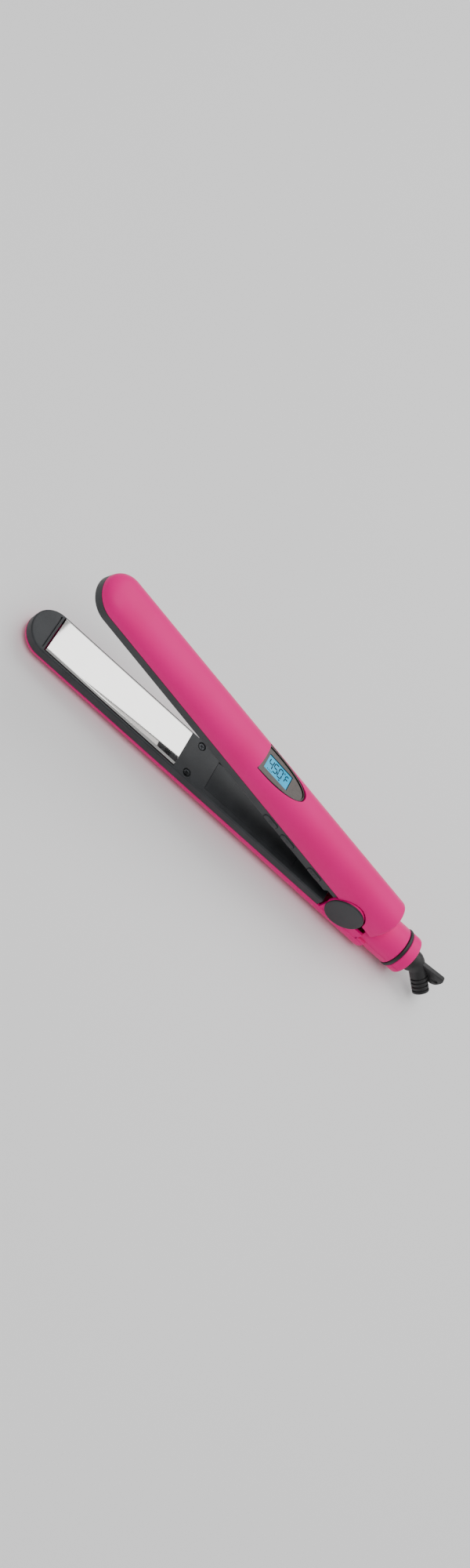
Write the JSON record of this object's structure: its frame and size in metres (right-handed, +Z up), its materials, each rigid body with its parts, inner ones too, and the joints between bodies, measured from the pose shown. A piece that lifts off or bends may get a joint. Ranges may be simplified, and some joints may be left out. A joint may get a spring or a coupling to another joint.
{
  "type": "flat iron",
  "caption": "Hair straightener with two sprung arms on a hinge, floating hot plates, a small display, push buttons and a cord swivel.",
  "frame": {"origin": "middle of the bounding box in X and Y, at the surface that the flat underside of the lower arm lies on", "axes": "+X from the tips towards the cord end, +Z up through the open arms, +Y to the far side; the buttons are on the -Y side"},
  "size_m": [0.3266, 0.0312, 0.0819],
  "materials": {
    "pink": "satin",
    "housing": "fine sandblast",
    "black_plastic": "satin",
    "titanium": "mirror polished",
    "steel": "plain",
    "ceramic": "matt ceramic",
    "silicone": "matt",
    "rubber": "satin",
    "board": "solder mask",
    "brass": "plain",
    "bezel": "satin gunmetal",
    "lcd": "gloss"
  },
  "bodies": {
    "lower_arm": {"lower_outer_shell": "pink", "neck_upper_cover": "pink", "lower_inner_housing": "housing", "inner_panel": "housing", "lower_screw_near": "steel", "lower_screw_far": "steel", "neck_ring": "rubber", "hinge_pin": "steel", "hinge_cap_near": "black_plastic", "hinge_cap_far": "black_plastic", "hinge_spring": "steel", "lower_cushion_tip": "silicone", "lower_cushion_rear": "silicone", "power_board": "board", "film_capacitor": "brass", "triac": "black_plastic", "brush_carrier": "ceramic", "live_brush": "brass", "neutral_brush": "brass"},
    "lower_plate_float": {"lower_plate": "titanium", "lower_heater": "ceramic", "lower_heater_clip": "steel", "thermal_fuse": "ceramic"},
    "upper_arm": {"upper_outer_shell": "pink", "upper_inner_housing": "housing", "display_bezel": "bezel", "lcd_screen": "lcd", "lcd_backlight": "ceramic", "control_board": "board", "tact_switch_plus": "black_plastic", "tact_switch_minus": "black_plastic", "tact_switch_power": "black_plastic", "upper_screw_near": "steel", "upper_screw_far": "steel", "upper_cushion_tip": "silicone", "upper_cushion_rear": "silicone"},
    "upper_plate_float": {"upper_plate": "titanium", "upper_heater": "ceramic", "upper_heater_clip": "steel", "thermistor": "ceramic"},
    "button_plus": {"button_plus": "black_plastic"},
    "button_minus": {"button_minus": "black_plastic"},
    "button_power": {"button_power": "black_plastic"},
    "cord_swivel": {"strain_relief": "rubber", "swivel_spindle": "black_plastic", "live_contact_ring": "brass", "neutral_contact_ring": "brass"}
  },
  "joints": [
    {"name": "arm_hinge", "type": "hinge", "parent": "lower_arm", "child": "upper_arm", "pos_m": [0.083, 0, 0.0221], "axis": [0, 1, 0], "range_deg": [-12.8, 0], "stiffness_Nm_per_rad": 0.8, "springref_deg": 20.05, "deforming": ["hinge_spring"]},
    {"name": "lower_plate_slide", "type": "slide", "parent": "lower_arm", "child": "lower_plate_float", "axis": [0.0243, 0, -0.9997], "range_m": [0, 0.0007], "stiffness_N_per_m": 3000, "springref_m": -0.0008},
    {"name": "upper_plate_slide", "type": "slide", "parent": "upper_arm", "child": "upper_plate_float", "axis": [0.1978, 0, 0.9802], "range_m": [0, 0.0007], "stiffness_N_per_m": 3000, "springref_m": -0.0008},
    {"name": "button_plus_press", "type": "slide", "parent": "upper_arm", "child": "button_plus", "axis": [0, 1, 0], "range_m": [0, 0.0006], "stiffness_N_per_m": 800, "springref_m": -0.0006},
    {"name": "button_minus_press", "type": "slide", "parent": "upper_arm", "child": "button_minus", "axis": [0, 1, 0], "range_m": [0, 0.0006], "stiffness_N_per_m": 800, "springref_m": -0.0006},
    {"name": "button_power_press", "type": "slide", "parent": "upper_arm", "child": "button_power", "axis": [0, 1, 0], "range_m": [0, 0.0006], "stiffness_N_per_m": 800, "springref_m": -0.0006},
    {"name": "cord_swivel_turn", "type": "hinge", "parent": "lower_arm", "child": "cord_swivel", "pos_m": [0.13319, 0, 0.01482], "axis": [0.9997, 0, 0.0243], "continuous": true}
  ]
}
